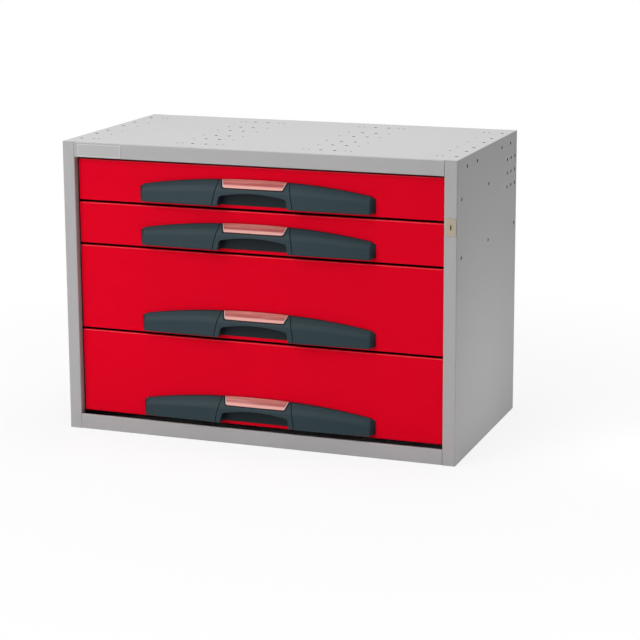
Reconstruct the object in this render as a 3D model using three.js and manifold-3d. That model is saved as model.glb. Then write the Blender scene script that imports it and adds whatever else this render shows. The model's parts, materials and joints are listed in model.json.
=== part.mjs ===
// Workshop cabinet module: a sheet-steel casing with four drawers, two shallow above two deep.
// Each drawer runs on a pair of telescopic slides and has a moulded handle with a finger recess
// and a clear label window. One lock in the right stile lifts a bar that holds every drawer shut.
//
// Millimetres, +Z up, drawers pull towards -Y. The origin is the centre of the casing's underside.

import * as THREE from 'three';
import { mergeGeometries, mergeVertices } from 'three/addons/utils/BufferGeometryUtils.js';
import Module from 'manifold-3d';

const wasm = await Module();
wasm.setup();

// Casing
const casingWidth = 720;
const casingDepth = 385;
const casingHeight = 520;
const casingSheet = 1.2;
const foldRadius = 2;
const seamPlay = 0.2;
const stileWidth = 22.5;
const stileReturn = 46;
const railHeight = 27;
const railHem = 3.5;
const panRearFlange = 15;
const panSideFlange = 12;
const backSheet = 1;
const rearPostWidth = 30;
const rearPostInset = 22.5;

// Holes in the top and the sides, for bolting modules together
const wideHole = 6.6;
const narrowHole = 4.5;
const holePairSpacing = 10;
const topRowShares = [0.117, 0.273, 0.39, 0.558, 0.688, 0.875];
const topWideColumnShares = [0.958, 0.364, 0.294];
const topNarrowColumnShares = [0.878, 0.43, 0.22];
const sideHoleShares = [
  [0.15, 0.967], [0.31, 0.967], [0.725, 0.967], [0.88, 0.967],
  [0.068, 0.869], [0.504, 0.869], [0.068, 0.679], [0.504, 0.679], [0.961, 0.679],
];
const sideGridRowShares = [0.915, 0.868, 0.821];
const sideGridColumnShares = [0.826, 0.894, 0.962];

// Drawers
const frontRecess = 10.5;
const frontSideGap = 3;
const frontGap = 4;
const lowestFrontClearance = 5.5;
const highestFrontClearance = 3.5;
const shallowFrontHeight = 73;
const frontDepth = 15;
const frontSheet = 1;
const frontTopRadius = 4;
const frontEdgeRadius = 1.5;
const seatPlay = 0.3;
const traySheet = 1;
const trayRise = 4;
const trayHeadroom = 9;
const trayRim = 6;
const trayRearClearance = 11;

// Telescopic slides
const slideLength = 340;
const slideSetback = 12;
const innerLead = 2;
const slideHeight = 26;
const slideThickness = 12.7;
const slideHalfHeight = 17.5;
const slideSheet = 1.2;
const slidePlay = 0.4;
const raceNeck = 8;
const raceLip = 1.2;
const raceStep = 2;

// Handle
const handleBaseHalfLength = 216;
const handleEndDraft = 5;
const handleCentreProtrusion = 22;
const handleEndProtrusion = 12.5;
const handleCentreTop = 51.5;
const handleEndTop = 33.5;
const handleCentreBottom = 6.2;
const handleEndBottom = 4.8;
const crownCentreDrop = 9;
const crownEndDrop = 3.4;
const crownRadius = 3;
const crestRadius = 2.5;
const browStandShare = 0.5;
const crestStandShare = 0.23;
const handleEdgeRadius = 1.4;
const handleCornerRadius = 4;
const seamTopHalfWidth = 65.5;
const seamBottomHalfWidth = 73.5;
const handlePlay = 0.15;
const handleArchExponentShare = 2.2;
const handleTaperExponentShare = 2;
const seamCurveExponentShare = 1.3;
const wingStationShares = [0, 0.16, 0.33, 0.5, 0.66, 0.8, 0.92, 1];
const gripStationShares = [-1, -0.66, -0.33, 0, 0.33, 0.66, 1];
const wingEndDropShares = [0, 0.28, 0.72, 1];

// Finger recess under the grip
const recessMouthHalfWidth = 65.5;
const recessTopHalfWidth = 61;
const recessShoulderHeight = 24;
const recessPeakHeight = 29.3;
const recessCornerRadius = 5;
const recessBackWall = 1.6;
const recessLip = 3.2;
const recessCurl = 3.6;

// Label window on the crown of the grip
const windowThickness = 1.6;
const windowProud = 0.4;
const windowPlay = 0.25;
const windowBottomHalfWidth = 54.3;
const windowTopHalfWidth = 60;
const windowBottomHeight = 36.2;
const windowSetback = 2.5;
const windowCornerRadius = 2.5;

// Name plate, left bare
const namePlateWidth = 82;
const namePlateHeight = 21;
const namePlateThickness = 0.6;
const namePlateSideMargin = 7.5;
const namePlateBottomMargin = 2.2;

// Lock
const lockDrop = 111.5;
const lockInset = 10.25;
const lockPlateWidth = 17.5;
const lockPlateHeight = 29;
const lockPlateThickness = 1;
const lockCaseMargin = 0.8;
const lockCaseLength = 19;
const lockCasePlay = 0.3;
const lockPlateRadius = 1.5;
const plugRadius = 5;
const plugPlay = 0.1;
const plugHeadProud = 0.4;
const keywayWidth = 2.6;
const keywayHeight = 7.6;
const keywayDepth = 6;
const camThickness = 1.5;
const camPinRadius = 1.6;
const camPinPlay = 0.4;
const camPinLength = 6.5;
const lockLift = 8;
const lockBarSheet = 2;
const lockBarWidth = 16;
const lockBarSetback = 24.5;
const lockEarThickness = 2.5;
const lockEarMargin = 2.4;
const lockEarHalfHeight = 6.5;
const lockTabHeight = 3;
const lockTabWidth = 4;
const lockTabInset = 5;
const lockTabReach = 11.9;
const lockTabClearance = 1.5;
const lockBarOverhang = 14;

// Steps and sides of round shapes, and how far a cut runs past the face it opens
const arcSteps = 3;
const wideHoleSides = 8;
const narrowHoleSides = 6;
const turnedSides = 24;
const overrun = 1;

// Places worked out from the sizes above
const halfWidth = casingWidth / 2;
const halfDepth = casingDepth / 2;
const stileInner = halfWidth - stileWidth;
const wallInner = halfWidth - casingSheet;
const frontFaceY = frontRecess - halfDepth;
const frontHalfWidth = stileInner - frontSideGap;
const channelBack = stileInner - seatPlay;
const trayHalfWidth = channelBack - slideThickness - seatPlay;
const trayFrontY = frontSheet + seatPlay;
const backPanelFrontY = halfDepth - casingSheet - seamPlay - backSheet;
const trayRearY = backPanelFrontY - trayRearClearance - frontFaceY;
const slideFrontY = frontDepth + slideSetback;
const tabBottom = slideHeight - slideHalfHeight - lockLift - lockTabHeight;
const catchBottom = tabBottom + lockTabHeight + lockTabClearance;
const lockX = halfWidth - lockInset;
const lockHeight = casingHeight - lockDrop;
const lockBarFrontY = lockBarSetback - halfDepth;
const lockTabFrontY = lockBarFrontY + lockTabInset;
const lockBarInner = stileInner + casingSheet + seamPlay;
const camRadius = lockLift / Math.SQRT2;

// The drawers from the top down. The deep ones share the height that the shallow ones leave.
const drawerDepths = ['shallow', 'shallow', 'deep', 'deep'];

/** Height of each drawer front, in the order of drawerDepths. */
function heightsOfFronts() {
  const shallowCount = drawerDepths.filter((depth) => depth === 'shallow').length;
  const deepCount = drawerDepths.length - shallowCount;
  const opening = casingHeight - 2 * railHeight - lowestFrontClearance - highestFrontClearance;
  const gaps = (drawerDepths.length - 1) * frontGap;
  const deepFrontHeight = (opening - gaps - shallowCount * shallowFrontHeight) / deepCount;
  return drawerDepths.map((depth) => (depth === 'shallow' ? shallowFrontHeight : deepFrontHeight));
}

const frontHeights = heightsOfFronts();

/** Height of the lower edge of each drawer front, in the order of drawerDepths. */
function frontBottoms() {
  const bottoms = [];
  let level = railHeight + lowestFrontClearance;
  for (const height of [...frontHeights].reverse()) {
    bottoms.unshift(level);
    level += height + frontGap;
  }
  return bottoms;
}

const drawerBottoms = frontBottoms();

/** Read a closed geometry as a solid that can be joined and cut. */
function toSolid(geometry) {
  const bare = geometry.clone();
  bare.deleteAttribute('normal');
  bare.deleteAttribute('uv');
  const merged = mergeVertices(bare);
  return new wasm.Manifold(new wasm.Mesh({
    numProp: 3,
    vertProperties: new Float32Array(merged.attributes.position.array),
    triVerts: new Uint32Array(merged.index.array),
  }));
}

/** Read a solid back as a geometry. */
function toGeometry(solid) {
  const mesh = solid.getMesh();
  const geometry = new THREE.BufferGeometry();
  geometry.setAttribute('position', new THREE.BufferAttribute(new Float32Array(mesh.vertProperties), 3));
  geometry.setIndex(new THREE.BufferAttribute(new Uint32Array(mesh.triVerts), 1));
  geometry.computeVertexNormals();
  return geometry;
}

/** Join solids into one. */
function join(...solids) {
  return solids.reduce((whole, next) => whole.add(next));
}

/** Extrude a shape along one axis. Its own plane is YZ for x, XZ for y and XY for z. */
function extrude(shape, axis, from, to) {
  const options = { depth: 1, bevelEnabled: false, curveSegments: arcSteps };
  const geometry = new THREE.ExtrudeGeometry(shape, options);
  const position = geometry.attributes.position;
  for (let i = 0; i < position.count; i += 1) {
    const across = position.getX(i);
    const up = position.getY(i);
    const far = position.getZ(i) > 0.5;
    if (axis === 'x') {
      position.setXYZ(i, far ? to : from, across, up);
    } else if (axis === 'y') {
      position.setXYZ(i, across, far ? from : to, up);
    } else {
      position.setXYZ(i, across, up, far ? to : from);
    }
  }
  return toSolid(geometry);
}

/** A block between two opposite corners, given in any order. */
function block(a, b) {
  const geometry = new THREE.BoxGeometry(1, 1, 1);
  const position = geometry.attributes.position;
  const low = new THREE.Vector3(...a).min(new THREE.Vector3(...b));
  const high = new THREE.Vector3(...a).max(new THREE.Vector3(...b));
  for (let i = 0; i < position.count; i += 1) {
    position.setXYZ(
      i,
      position.getX(i) > 0 ? high.x : low.x,
      position.getY(i) > 0 ? high.y : low.y,
      position.getZ(i) > 0 ? high.z : low.z,
    );
  }
  return toSolid(geometry);
}

/** A round bar along Y between two places. */
function turnedBar(radius, x, z, fromY, toY) {
  const circle = new THREE.Shape();
  for (let i = 0; i < turnedSides; i += 1) {
    const angle = (2 * Math.PI * i) / turnedSides;
    const point = [x + radius * Math.cos(angle), z + radius * Math.sin(angle)];
    if (i === 0) {
      circle.moveTo(...point);
    } else {
      circle.lineTo(...point);
    }
  }
  return extrude(circle, 'y', fromY, toY);
}

/** Drills along an axis, as one solid for a single cut. Each place is the drill's centre. */
function drills(places, diameter, sides, length, axis) {
  const drill = new THREE.CylinderGeometry(diameter / 2, diameter / 2, length, sides);
  if (axis === 'z') {
    drill.rotateX(Math.PI / 2);
  } else {
    drill.rotateZ(Math.PI / 2);
  }
  return toSolid(mergeGeometries(places.map((place) => drill.clone().translate(...place))));
}

/** Points of a path with its inner corners rounded, by radii that are used in turn. */
function roundedPath(points, radii) {
  const path = [points[0]];
  for (let i = 1; i < points.length - 1; i += 1) {
    const corner = points[i];
    const back = points[i - 1].clone().sub(corner);
    const ahead = points[i + 1].clone().sub(corner);
    const radius = Math.min(radii[(i - 1) % radii.length], back.length() / 2, ahead.length() / 2);
    const start = corner.clone().addScaledVector(back.normalize(), radius);
    const end = corner.clone().addScaledVector(ahead.normalize(), radius);
    path.push(...new THREE.QuadraticBezierCurve(start, corner, end).getPoints(arcSteps));
  }
  path.push(points[points.length - 1]);
  return path;
}

/** A path moved sideways by a distance, to the left of its direction where that is positive. */
function offsetPath(path, distance) {
  return path.map((point, i) => {
    const before = i > 0 ? point.clone().sub(path[i - 1]).normalize() : null;
    const after = i < path.length - 1 ? path[i + 1].clone().sub(point).normalize() : null;
    const first = before ?? after;
    const second = after ?? before;
    const normal = new THREE.Vector2(-first.y - second.y, first.x + second.x);
    const stretch = 1 + first.dot(second);
    return point.clone().addScaledVector(normal, distance / stretch);
  });
}

/** The points round a folded sheet whose outer face follows a path. */
function sheetOutline(path, thickness) {
  return [...path, ...offsetPath(path, thickness).reverse()];
}

/** A list of number pairs as points in a plane. */
function plane(pairs) {
  return pairs.map(([across, up]) => new THREE.Vector2(across, up));
}

/** The same points on one side of the centre plane or the other. */
function onSide(points, side) {
  return points.map((point) => new THREE.Vector2(side * point.x, point.y));
}

/** A shape with straight sides and half-round ends, about two points in a plane. */
function obround(a, b, radius) {
  const angle = Math.atan2(b.y - a.y, b.x - a.x);
  const quarter = Math.PI / 2;
  const shape = new THREE.Shape();
  shape.absarc(b.x, b.y, radius, angle - quarter, angle + quarter, false);
  shape.absarc(a.x, a.y, radius, angle + quarter, angle + 3 * quarter, false);
  return shape;
}

/** A solid skinned over rings of equal length that follow each other along X, closed at both ends. */
function loft(rings) {
  const ascending = rings[rings.length - 1][0].x > rings[0][0].x ? rings : [...rings].reverse();
  const flat = (ring) => ring.map((point) => new THREE.Vector2(point.y, point.z));
  const clockwise = THREE.ShapeUtils.isClockWise(flat(rings[0]));
  const ordered = ascending.map((ring) => (clockwise ? [...ring].reverse() : ring));
  const size = ordered[0].length;
  const last = (ordered.length - 1) * size;
  const triangles = [];
  for (let start = 0; start < last; start += size) {
    for (let k = 0; k < size; k += 1) {
      const a = start + k;
      const b = start + ((k + 1) % size);
      triangles.push(a, b, b + size, a, b + size, a + size);
    }
  }
  for (const [a, b, c] of THREE.ShapeUtils.triangulateShape(flat(ordered[0]), [])) {
    triangles.push(c, b, a);
  }
  for (const [a, b, c] of THREE.ShapeUtils.triangulateShape(flat(ordered[ordered.length - 1]), [])) {
    triangles.push(a + last, b + last, c + last);
  }
  const geometry = new THREE.BufferGeometry();
  geometry.setAttribute(
    'position',
    new THREE.Float32BufferAttribute(ordered.flat().flatMap((point) => [point.x, point.y, point.z]), 3),
  );
  geometry.setIndex(triangles);
  return toSolid(geometry);
}

/** Side of the casing, folded round to the front as a box stile and to the back as a flange. */
function sidePanel(side) {
  const path = roundedPath(plane([
    [stileInner, stileReturn - halfDepth],
    [stileInner, -halfDepth],
    [halfWidth, -halfDepth],
    [halfWidth, halfDepth],
    [stileInner, halfDepth],
  ]), [foldRadius]);
  const outline = onSide(sheetOutline(path, casingSheet), side);
  const folded = extrude(new THREE.Shape(outline), 'z', 0, casingHeight);
  const ledge = casingSheet + seamPlay;
  const notchInner = side * (stileInner - overrun);
  const notchOuter = side * wallInner;
  const notchY = halfDepth - casingSheet;
  const topNotch = block(
    [notchInner, -notchY, casingHeight - ledge],
    [notchOuter, notchY, casingHeight + overrun],
  );
  const bottomNotch = block([notchInner, -notchY, -overrun], [notchOuter, notchY, ledge]);
  return folded.subtract(join(topNotch, bottomNotch, sideHoleDrills(side)));
}

/** The drills for the holes in one side of the casing. */
function sideHoleDrills(side) {
  const grid = sideGridRowShares.flatMap((up) => sideGridColumnShares.map((back) => [back, up]));
  const x = side * (halfWidth - casingSheet / 2);
  const places = [...sideHoleShares, ...grid].map(
    ([back, up]) => [x, back * casingDepth - halfDepth, up * casingHeight],
  );
  return drills(places, wideHole, wideHoleSides, casingSheet + 2 * overrun, 'x');
}

/** Openings in the right stile: one for the lock and one for each tab of the lock bar. */
function lockOpenings() {
  const halfOpening = lockPlateWidth / 2 - lockCaseMargin + lockCasePlay;
  const halfOpeningHeight = lockPlateHeight / 2 - lockCaseMargin + lockCasePlay;
  const lockOpening = block(
    [lockX - halfOpening, -halfDepth - overrun, lockHeight - halfOpeningHeight],
    [lockX + halfOpening, casingSheet + overrun - halfDepth, lockHeight + halfOpeningHeight],
  );
  const tabSlots = drawerBottoms.map((bottom) => block(
    [stileInner - overrun, lockTabFrontY - seatPlay, bottom + tabBottom - seatPlay],
    [
      stileInner + casingSheet + seamPlay / 2,
      lockTabFrontY + lockTabWidth + seatPlay,
      bottom + tabBottom + lockTabHeight + lockLift + seatPlay,
    ],
  ));
  return join(lockOpening, ...tabSlots);
}

/**
 * Top or bottom of the casing as a pan whose outer face lies at a height. Its front is folded
 * inward into the rail, its back and sides into flanges.
 */
function pan(face, inward) {
  const railEdge = face + inward * railHeight;
  const path = roundedPath(plane([
    [railHem - halfDepth, railEdge],
    [-halfDepth, railEdge],
    [-halfDepth, face],
    [halfDepth, face],
    [halfDepth, face + inward * panRearFlange],
  ]), [foldRadius]);
  const between = stileInner - seamPlay;
  const outline = sheetOutline(path, inward * casingSheet);
  const folded = extrude(new THREE.Shape(outline), 'x', -between, between);
  const edge = wallInner - seamPlay;
  const reach = halfDepth - casingSheet - seamPlay;
  const plate = block([-edge, -reach, face], [edge, reach, face + inward * casingSheet]);
  const flanges = [-1, 1].map((side) => block(
    [side * edge, stileReturn - halfDepth + seamPlay, face],
    [
      side * (edge - casingSheet),
      halfDepth - rearPostInset - rearPostWidth - seamPlay,
      face + inward * panSideFlange,
    ],
  ));
  return join(folded, plate, ...flanges);
}

/** Top of the casing with its rows of bolting holes. */
function topPanel() {
  const z = casingHeight - casingSheet / 2;
  const depth = casingSheet + 2 * overrun;
  const rows = topRowShares.map((share) => share * casingDepth - halfDepth);
  const outerRows = [rows[0], rows[rows.length - 1]];
  const bothSides = (shares) => shares.flatMap((share) => [-share * halfWidth, share * halfWidth]);
  const wide = bothSides(topWideColumnShares).flatMap((x) => rows.map((y) => [x, y, z]));
  const narrow = bothSides(topNarrowColumnShares).flatMap((x) => rows.flatMap((y) => {
    const spread = outerRows.includes(y) ? holePairSpacing / 2 : 0;
    return spread > 0 ? [[x - spread, y, z], [x + spread, y, z]] : [[x, y, z]];
  }));
  return pan(casingHeight, -1)
    .subtract(drills(wide, wideHole, wideHoleSides, depth, 'z'))
    .subtract(drills(narrow, narrowHole, narrowHoleSides, depth, 'z'));
}

/** Flat back of the casing, inside the flanges of the sides and the pans. */
function backPanel() {
  const edge = wallInner - foldRadius;
  const ledge = casingSheet + foldRadius;
  return block(
    [-edge, backPanelFrontY, ledge],
    [edge, backPanelFrontY + backSheet, casingHeight - ledge],
  );
}

/** Upright at the back of one side, which carries the rear ends of the slides. */
function rearPost(side) {
  const rear = halfDepth - rearPostInset;
  const path = roundedPath(plane([
    [wallInner - seamPlay, rear - rearPostWidth],
    [stileInner, rear - rearPostWidth],
    [stileInner, rear],
    [wallInner - seamPlay, rear],
  ]), [foldRadius]);
  const ledge = casingSheet + seamPlay;
  const outline = onSide(sheetOutline(path, -casingSheet), side);
  return extrude(new THREE.Shape(outline), 'z', ledge, casingHeight - ledge);
}

/** Bare plate on the left of the top rail. */
function namePlate() {
  const left = namePlateSideMargin - stileInner;
  const bottom = casingHeight - railHeight + namePlateBottomMargin;
  const back = -halfDepth - seamPlay;
  return block(
    [left, back, bottom],
    [left + namePlateWidth, back - namePlateThickness, bottom + namePlateHeight],
  );
}

/** Front plate and body of the lock, with the bore for its plug. */
function lockCase() {
  const halfPlate = lockPlateWidth / 2;
  const halfPlateHeight = lockPlateHeight / 2;
  const plateBack = -halfDepth - seamPlay;
  const corners = roundedPath(plane([
    [lockX, lockHeight - halfPlateHeight],
    [lockX + halfPlate, lockHeight - halfPlateHeight],
    [lockX + halfPlate, lockHeight + halfPlateHeight],
    [lockX - halfPlate, lockHeight + halfPlateHeight],
    [lockX - halfPlate, lockHeight - halfPlateHeight],
    [lockX, lockHeight - halfPlateHeight],
  ]), [lockPlateRadius]).slice(0, -1);
  const plate = extrude(new THREE.Shape(corners), 'y', plateBack - lockPlateThickness, plateBack);
  const halfBody = halfPlate - lockCaseMargin;
  const halfBodyHeight = halfPlateHeight - lockCaseMargin;
  const body = block(
    [lockX - halfBody, plateBack - lockPlateThickness / 2, lockHeight - halfBodyHeight],
    [lockX + halfBody, lockCaseLength - halfDepth, lockHeight + halfBodyHeight],
  );
  const bore = turnedBar(
    plugRadius + plugPlay, lockX, lockHeight,
    plateBack - lockPlateThickness - overrun, lockCaseLength - halfDepth + overrun,
  );
  return join(plate, body).subtract(bore);
}

/** Turning plug of the lock with its keyway. */
function lockPlug() {
  const front = -halfDepth - seamPlay - lockPlateThickness - plugHeadProud;
  const plug = turnedBar(plugRadius, lockX, lockHeight, front, lockCaseLength - halfDepth + seatPlay);
  const keyway = block(
    [lockX - keywayWidth / 2, front - overrun, lockHeight - keywayHeight / 2],
    [lockX + keywayWidth / 2, front + keywayDepth, lockHeight + keywayHeight / 2],
  );
  return plug.subtract(keyway);
}

/** Arm on the back of the plug, whose pin lifts the lock bar as the key turns. */
function lockCam() {
  const front = lockCaseLength - halfDepth + seatPlay + seamPlay;
  const pinX = lockX - lockLift / 2;
  const pinZ = lockHeight - lockLift / 2;
  const arm = extrude(
    obround(new THREE.Vector2(pinX, pinZ), new THREE.Vector2(lockX, lockHeight), 2 * camPinRadius),
    'y', front, front + camThickness,
  );
  const pinRoot = front + camThickness / 2;
  const pin = turnedBar(camPinRadius, pinX, pinZ, pinRoot, front + camThickness + camPinLength);
  return join(arm, pin);
}

/** Flat bar inside the right stile, with a tab for each drawer and an ear for the pin of the cam. */
function lockBar() {
  const outer = lockBarInner + lockBarSheet;
  const bottomTab = drawerBottoms[drawerBottoms.length - 1] + tabBottom;
  const highest = drawerBottoms[0] + tabBottom + lockTabHeight + lockBarOverhang;
  const strip = block(
    [lockBarInner, lockBarFrontY, bottomTab - lockBarOverhang],
    [outer, lockBarFrontY + lockBarWidth, highest],
  );
  const tabs = drawerBottoms.map((bottom) => block(
    [lockBarInner - lockTabReach, lockTabFrontY, bottom + tabBottom],
    [lockBarInner + lockBarSheet / 2, lockTabFrontY + lockTabWidth, bottom + tabBottom + lockTabHeight],
  ));
  const earZ = lockHeight - lockLift / 2;
  const pinX = lockX - lockLift / 2;
  const slotRadius = camPinRadius + camPinPlay;
  const ear = block(
    [lockBarInner + lockBarSheet / 2, lockBarFrontY, earZ - lockEarHalfHeight],
    [pinX + slotRadius + lockEarMargin, lockBarFrontY + lockEarThickness, earZ + lockEarHalfHeight],
  );
  const slot = extrude(
    obround(new THREE.Vector2(lockX - camRadius, earZ), new THREE.Vector2(pinX, earZ), slotRadius),
    'y', lockBarFrontY - overrun, lockBarFrontY + lockEarThickness + overrun,
  );
  return join(strip, ...tabs, ear.subtract(slot));
}

/** One member of a telescopic slide, from the path of its outer face seen from the front. */
function slideMember(path, thickness, side, lead = 0) {
  const outline = sheetOutline(path, thickness).map(
    (point) => new THREE.Vector2(side * (channelBack - point.x), slideHeight + point.y),
  );
  return extrude(new THREE.Shape(outline), 'y', slideFrontY - lead, slideFrontY + slideLength);
}

/** Member on the drawer. The right one is folded down at the front into a catch for the lock bar. */
function innerMember(path, side) {
  const member = slideMember(path, -slideSheet, side, innerLead);
  if (side < 0) {
    return member;
  }
  const lowerFlange = path[path.length - 2];
  const lockCatch = block(
    [channelBack - path[0].x, slideFrontY - innerLead, catchBottom],
    [
      channelBack - slideThickness,
      slideFrontY - slidePlay,
      slideHeight + lowerFlange.y + slideSheet,
    ],
  );
  return join(member, lockCatch);
}

/** A path followed by its mirror image below the middle of the slide. */
function bothEdges(points) {
  const below = [...points].reverse().map((point) => new THREE.Vector2(point.x, -point.y));
  return [...points, ...below];
}

/** Paths of the three members, each nested in the one before with the same play all round. */
function slidePaths() {
  const nesting = slideSheet + slidePlay;
  const channel = bothEdges(plane([
    [raceNeck + raceLip, slideHalfHeight - raceStep],
    [raceNeck, slideHalfHeight],
    [0, slideHalfHeight],
  ]));
  const insideChannel = offsetPath(channel, nesting);
  const middleNeck = insideChannel[1];
  const middle = bothEdges([
    new THREE.Vector2(slideThickness - nesting, middleNeck.y - raceStep),
    new THREE.Vector2(middleNeck.x + raceLip, middleNeck.y - raceStep),
    middleNeck,
    insideChannel[2],
  ]);
  const insideMiddle = offsetPath(middle, nesting);
  const inner = bothEdges([
    new THREE.Vector2(2 * nesting, insideMiddle[2].y),
    insideMiddle[2],
    insideMiddle[1],
    new THREE.Vector2(slideThickness, insideMiddle[1].y),
  ]);
  return { channel, middle, inner };
}

const paths = slidePaths();

/** Path round a drawer front from its lower rear edge to its upper one, at a depth. */
function frontPath(height, depth) {
  const corners = plane([[depth, 0], [0, 0], [0, height], [depth, height]]);
  return roundedPath(corners, [frontEdgeRadius, frontTopRadius]);
}

/** Front of a drawer, a shallow pan that is open at the back and rolled at the top. */
function drawerFront(height) {
  const outer = new THREE.Shape(frontPath(height, frontDepth));
  const inner = new THREE.Shape(offsetPath(frontPath(height, frontDepth + overrun), -frontSheet));
  const insideHalfWidth = frontHalfWidth - frontSheet;
  return extrude(outer, 'x', -frontHalfWidth, frontHalfWidth)
    .subtract(extrude(inner, 'x', -insideHalfWidth, insideHalfWidth));
}

/** Tray of a drawer, seated in its front, with rims along its sides. */
function drawerTray(frontHeight) {
  const top = frontHeight - trayHeadroom;
  const path = roundedPath(plane([
    [-trayHalfWidth - trayRim, top - traySheet],
    [-trayHalfWidth, top - traySheet],
    [-trayHalfWidth, trayRise],
    [trayHalfWidth, trayRise],
    [trayHalfWidth, top - traySheet],
    [trayHalfWidth + trayRim, top - traySheet],
  ]), [frontEdgeRadius]);
  const folded = extrude(new THREE.Shape(sheetOutline(path, traySheet)), 'y', trayFrontY, trayRearY);
  const inSheet = trayHalfWidth - traySheet / 2;
  const floor = trayRise + traySheet / 2;
  const frontWall = block([-inSheet, trayFrontY, floor], [inSheet, trayFrontY + traySheet, top]);
  const rearWall = block([-inSheet, trayRearY - traySheet, floor], [inSheet, trayRearY, top]);
  return join(folded, frontWall, rearWall);
}

/** A size of the handle at a place along it, between its value at the middle and at the end. */
function alongHandle(middle, end, x, exponent) {
  const share = Math.abs(x) / handleBaseHalfLength;
  return middle + (end - middle) * share ** exponent;
}

/** Half the length of the grip at a height, where it meets the wings in a curved seam. */
function seamHalfWidth(height) {
  const share = THREE.MathUtils.clamp(
    (height - handleCentreBottom) / (handleCentreTop - handleCentreBottom), 0, 1,
  );
  return THREE.MathUtils.lerp(seamBottomHalfWidth, seamTopHalfWidth, share ** seamCurveExponentShare);
}

/**
 * One ring round the handle: flat back, a face that leans back to its brow, and a crown that
 * slopes on to a crest.
 * The section is that of the place x, and placeOf tells where along the handle each height lies.
 */
function handleRing(x, placeOf, { inset = 0, standCut = 0, heightCut = 0 } = {}) {
  const stand = standCut
    - alongHandle(handleCentreProtrusion, handleEndProtrusion, x, handleTaperExponentShare);
  const top = alongHandle(handleCentreTop, handleEndTop, x, handleArchExponentShare) - inset - heightCut;
  const bottom = alongHandle(handleCentreBottom, handleEndBottom, x, handleTaperExponentShare) + inset;
  const brow = top - alongHandle(crownCentreDrop, crownEndDrop, x, handleTaperExponentShare);
  const section = roundedPath(plane([
    [-handlePlay, bottom + heightCut],
    [stand + inset, bottom + heightCut],
    [stand * browStandShare + inset, brow],
    [stand * crestStandShare + inset, top],
    [-handlePlay, top],
  ]), [handleEdgeRadius, crownRadius, crestRadius]);
  return section.map((point) => new THREE.Vector3(placeOf(point.y), point.x, point.y));
}

/** Half the length of the grip at the middle of the seam, where its section is taken. */
const seamMiddle = (seamTopHalfWidth + seamBottomHalfWidth) / 2;

/** Left or right wing of the handle, from the seam to its rounded, drafted end. */
function handleWing(side) {
  const straight = handleBaseHalfLength - handleEndDraft - handleCornerRadius;
  const along = wingStationShares.map((share) => handleRing(
    THREE.MathUtils.lerp(seamMiddle, straight, share),
    (height) => side * THREE.MathUtils.lerp(seamHalfWidth(height) + handlePlay, straight, share),
  ));
  const corner = wingEndDropShares.slice(1).map((share) => {
    const sweep = Math.acos(1 - share);
    const x = straight + handleCornerRadius * Math.sin(sweep);
    const cut = handleCornerRadius * share;
    return handleRing(x, () => side * x, { standCut: cut, heightCut: cut / 2 });
  });
  const rim = handleEndProtrusion - handleEdgeRadius;
  const foot = handleRing(handleBaseHalfLength, () => side * handleBaseHalfLength, {
    standCut: rim, heightCut: handleCornerRadius,
  });
  return loft([...along, ...corner, foot]);
}

/** Outline of the finger recess, an arch that is open below, raised by a length. */
function recessShape(raised) {
  const shoulder = recessShoulderHeight + raised;
  const corner = recessTopHalfWidth - recessCornerRadius;
  const shape = new THREE.Shape();
  shape.moveTo(-recessMouthHalfWidth, 0);
  shape.lineTo(-recessTopHalfWidth, shoulder - recessCornerRadius);
  shape.quadraticCurveTo(-recessTopHalfWidth, shoulder, -corner, shoulder);
  shape.quadraticCurveTo(0, 2 * (recessPeakHeight + raised) - shoulder, corner, shoulder);
  shape.quadraticCurveTo(
    recessTopHalfWidth, shoulder,
    recessTopHalfWidth, shoulder - recessCornerRadius,
  );
  shape.lineTo(recessMouthHalfWidth, 0);
  return shape;
}

/** The handle's outer form across the window, drawn in by an inset. */
function crownForm(inset) {
  const reach = windowTopHalfWidth + windowCornerRadius;
  const places = gripStationShares.map((share) => share * reach);
  return loft(places.map((x) => handleRing(x, () => x, { inset })));
}

/** Prism that bounds the label window seen from the front, grown by a play. */
function windowPrism(play) {
  const outline = roundedPath(plane([
    [0, windowBottomHeight - play],
    [windowBottomHalfWidth + play, windowBottomHeight - play],
    [windowTopHalfWidth + play, handleCentreTop + overrun],
    [-windowTopHalfWidth - play, handleCentreTop + overrun],
    [-windowBottomHalfWidth - play, windowBottomHeight - play],
    [0, windowBottomHeight - play],
  ]), [windowCornerRadius]).slice(0, -1);
  return extrude(new THREE.Shape(outline), 'y', -handleCentreProtrusion - overrun, play - windowSetback);
}

/** Clear label window, which lies in a pocket of the crown and stands a little proud of it. */
function labelWindow() {
  return windowPrism(0).intersect(crownForm(-windowProud)).subtract(crownForm(windowThickness));
}

/** Where the grip's leaning face stands at a height, at the middle of the handle. */
function gripFace(height) {
  const brow = handleCentreTop - crownCentreDrop;
  const share = (height - handleCentreBottom) / (brow - handleCentreBottom);
  return -handleCentreProtrusion * THREE.MathUtils.lerp(1, browStandShare, share);
}

/** Middle of the handle: a hood over the finger recess, with the pocket for the label window. */
function handleGrip() {
  const body = loft(gripStationShares.map((share) => handleRing(
    share * seamMiddle,
    (height) => share * seamHalfWidth(height),
  )));
  const backWall = -handlePlay - recessBackWall;
  const mouth = extrude(recessShape(0), 'y', -handleCentreProtrusion - overrun, backWall);
  const lipBack = gripFace(recessPeakHeight) + recessLip;
  const curl = extrude(recessShape(recessCurl), 'y', lipBack, backWall);
  const pocket = windowPrism(windowPlay).subtract(crownForm(windowThickness + windowPlay));
  return body.subtract(join(mouth, curl)).subtract(pocket);
}

/** Finish of one kind of piece. */
function finish(color, roughness, metalness, extra = {}) {
  return new THREE.MeshStandardMaterial({ color, roughness, metalness, ...extra });
}

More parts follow.
